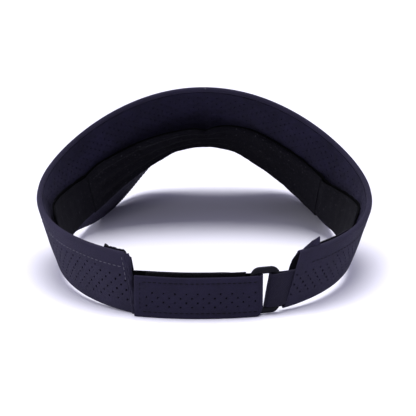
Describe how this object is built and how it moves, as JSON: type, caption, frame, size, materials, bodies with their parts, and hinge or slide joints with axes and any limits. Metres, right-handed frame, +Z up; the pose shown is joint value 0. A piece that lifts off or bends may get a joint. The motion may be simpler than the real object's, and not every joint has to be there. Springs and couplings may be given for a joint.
{
  "type": "sun visor",
  "caption": "Open-topped fabric sun visor with an arched stiff brim, an inner sweatband and a fold-back strap closed through a ring.",
  "frame": {"origin": "on the surface the visor stands on, below the middle of its bounding box", "axes": "+Z up, +Y from the strap towards the brim, +X towards the wearer's right"},
  "size_m": [0.1703, 0.248, 0.0794],
  "materials": {
    "perforated_fabric": "matt navy polyester with small punched holes",
    "plain_fabric": "matt navy polyester",
    "lining_fabric": "matt navy lining with small punched holes",
    "strap_fabric": "matt navy polyester, topstitched",
    "sweatband_fabric": "matt black brushed knit",
    "foam": "soft open foam, hidden in the sweatband",
    "buckram": "stiff coarse black cloth, hidden in the crown",
    "board": "bending black polyethylene board, hidden in the brim",
    "webbing": "close woven tape",
    "loop_pile": "black loop pile",
    "hook_tape": "black hook tape",
    "ring_plastic": "black moulded nylon, satin"
  },
  "bodies": {
    "crown": {"brim_board": "board", "brim_top_cover": "perforated_fabric", "brim_under_cover": "plain_fabric", "crown_outer_left": "perforated_fabric", "crown_outer_right": "perforated_fabric", "crown_lining_left": "lining_fabric", "crown_lining_right": "lining_fabric", "crown_stiffener": "buckram", "tab_facing_left": "sweatband_fabric", "tab_facing_right": "sweatband_fabric", "tab_end_hem_left": "plain_fabric", "tab_corner_fold_right": "plain_fabric", "sweatband_foam": "foam", "sweatband_cover": "sweatband_fabric", "sweatband_tail_left": "sweatband_fabric", "sweatband_tail_right": "sweatband_fabric", "strap_run": "webbing", "strap_fold": "strap_fabric", "loop_tape": "loop_pile", "ring_keeper": "webbing"},
    "flap": {"strap_flap": "strap_fabric", "hook_tape": "hook_tape"},
    "ring": {"ring": "ring_plastic"}
  },
  "joints": [
    {"name": "flap_peel", "type": "hinge", "parent": "crown", "child": "flap", "pos_m": [0.02509, -0.1209, 0.0095], "axis": [0, 0, 1], "range_deg": [0, 140]},
    {"name": "ring_swing", "type": "hinge", "parent": "crown", "child": "ring", "pos_m": [0.03335, -0.1146, 0.0113], "axis": [0, 0, 1], "range_deg": [-3.5, 1]}
  ]
}
